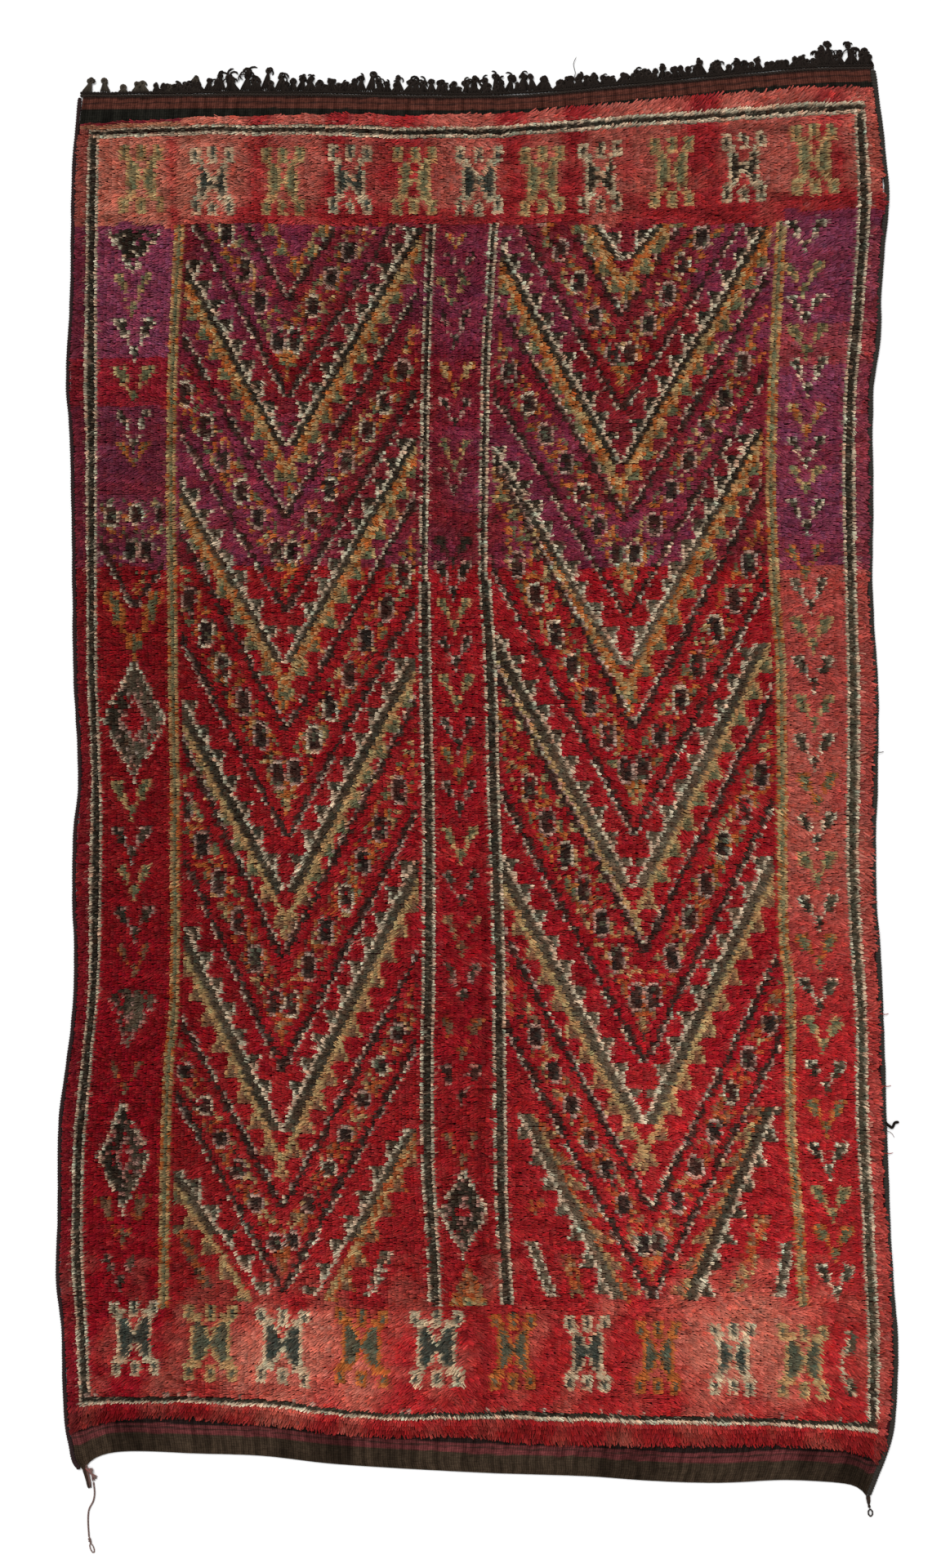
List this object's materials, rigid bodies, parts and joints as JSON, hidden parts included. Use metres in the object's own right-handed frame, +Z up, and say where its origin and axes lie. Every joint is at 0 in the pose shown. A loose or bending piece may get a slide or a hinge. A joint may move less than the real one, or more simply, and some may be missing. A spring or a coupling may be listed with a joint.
{
  "type": "beni ourain rug",
  "caption": "Hand-knotted red pile rug with nested chevrons between columns of small lozenge figures, flat-woven ends, dark bound sides, a knotted fringe along the top and a loose corner cord.",
  "frame": {"origin": "on the floor, under the middle of the rug with its fringe, without the free corner cord", "axes": "+Y along the rug towards the fringed end, +X across it to the right as seen from above with the fringe away from the viewer, +Z up from the floor through the pile"},
  "size_m": [1.801, 3.2251, 0.0181],
  "materials": {
    "pile_cloth": "long hand-knotted wool pile, red to plum with cream, dark brown, ochre and green figures",
    "fringe_yarn": "dark brown-black wool and goat hair, knotted tassels",
    "edge_binding": "dark overcast yarn",
    "corner_yarn": "dark yarn end with a greyish-pink bundle of wool beside it",
    "cord_yarn": "thin plied wool cord, greyish brown"
  },
  "bodies": {
    "root": {"rug_body": "pile_cloth", "top_fringe": "fringe_yarn", "left_selvedge": "edge_binding", "right_selvedge": "edge_binding", "left_corner_tail": "corner_yarn", "right_corner_tail": "edge_binding", "corner_cord": "cord_yarn", "cord_knot": "cord_yarn"}
  },
  "joints": []
}
